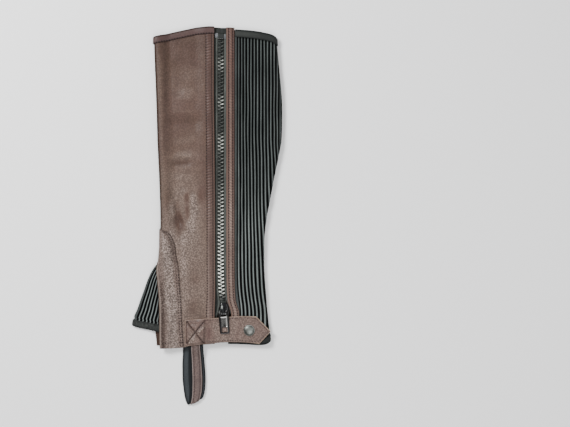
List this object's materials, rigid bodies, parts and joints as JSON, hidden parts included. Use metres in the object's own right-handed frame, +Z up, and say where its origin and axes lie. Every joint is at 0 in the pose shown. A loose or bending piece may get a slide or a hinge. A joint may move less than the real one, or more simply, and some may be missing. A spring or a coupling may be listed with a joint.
{
  "type": "half chap",
  "caption": "Half chap of brown leather and ribbed elastic laid flat, with a side zip, snapped ankle strap, instep gusset and elastic foot loop.",
  "frame": {"origin": "middle of the bounding box's underside, on the surface that the half chap lies on", "axes": "+X across the leg towards the ribbed elastic, +Y up the leg from the foot loop to the top edge, +Z up from the surface"},
  "size_m": [0.2004, 0.5044, 0.0139],
  "materials": {
    "brown_leather": "pebbled brown leather, satin",
    "facing_leather": "reddish brown leather, satin",
    "ribbed_elastic": "black ribbed elastic, matte",
    "binding_knit": "black knitted elastic, matte",
    "zip_tape": "dark woven zip tape, matte",
    "zip_plastic": "black moulded plastic teeth",
    "slider_enamel": "black enamel, glossy",
    "dark_metal": "gunmetal plating",
    "aged_nickel": "dull nickel plating"
  },
  "bodies": {
    "chap": {"leather_panel": "brown_leather", "elastic_panel": "ribbed_elastic", "top_binding_leather": "facing_leather", "top_binding_elastic": "binding_knit", "bottom_binding_elastic": "binding_knit", "gusset": "ribbed_elastic", "gusset_binding": "binding_knit", "ankle_patch": "brown_leather", "zip_facing_front": "facing_leather", "zip_facing_back": "facing_leather", "zip_tape_front": "zip_tape", "zip_tape_back": "zip_tape", "zip_top_band": "binding_knit", "zip_chain": "zip_plastic", "zip_box": "zip_plastic", "zip_slider": "slider_enamel", "closing_strap": "brown_leather", "snap_cap": "aged_nickel", "foot_loop": "binding_knit", "loop_strip": "facing_leather"},
    "pull_tab": {"pull_tab": "dark_metal"}
  },
  "joints": [
    {"name": "pull_tab_hinge", "type": "hinge", "parent": "chap", "child": "pull_tab", "pos_m": [0.0221, -0.12648, 0.01125], "axis": [-0.9971, -0.0767, 0], "range_deg": [0, 176]}
  ]
}
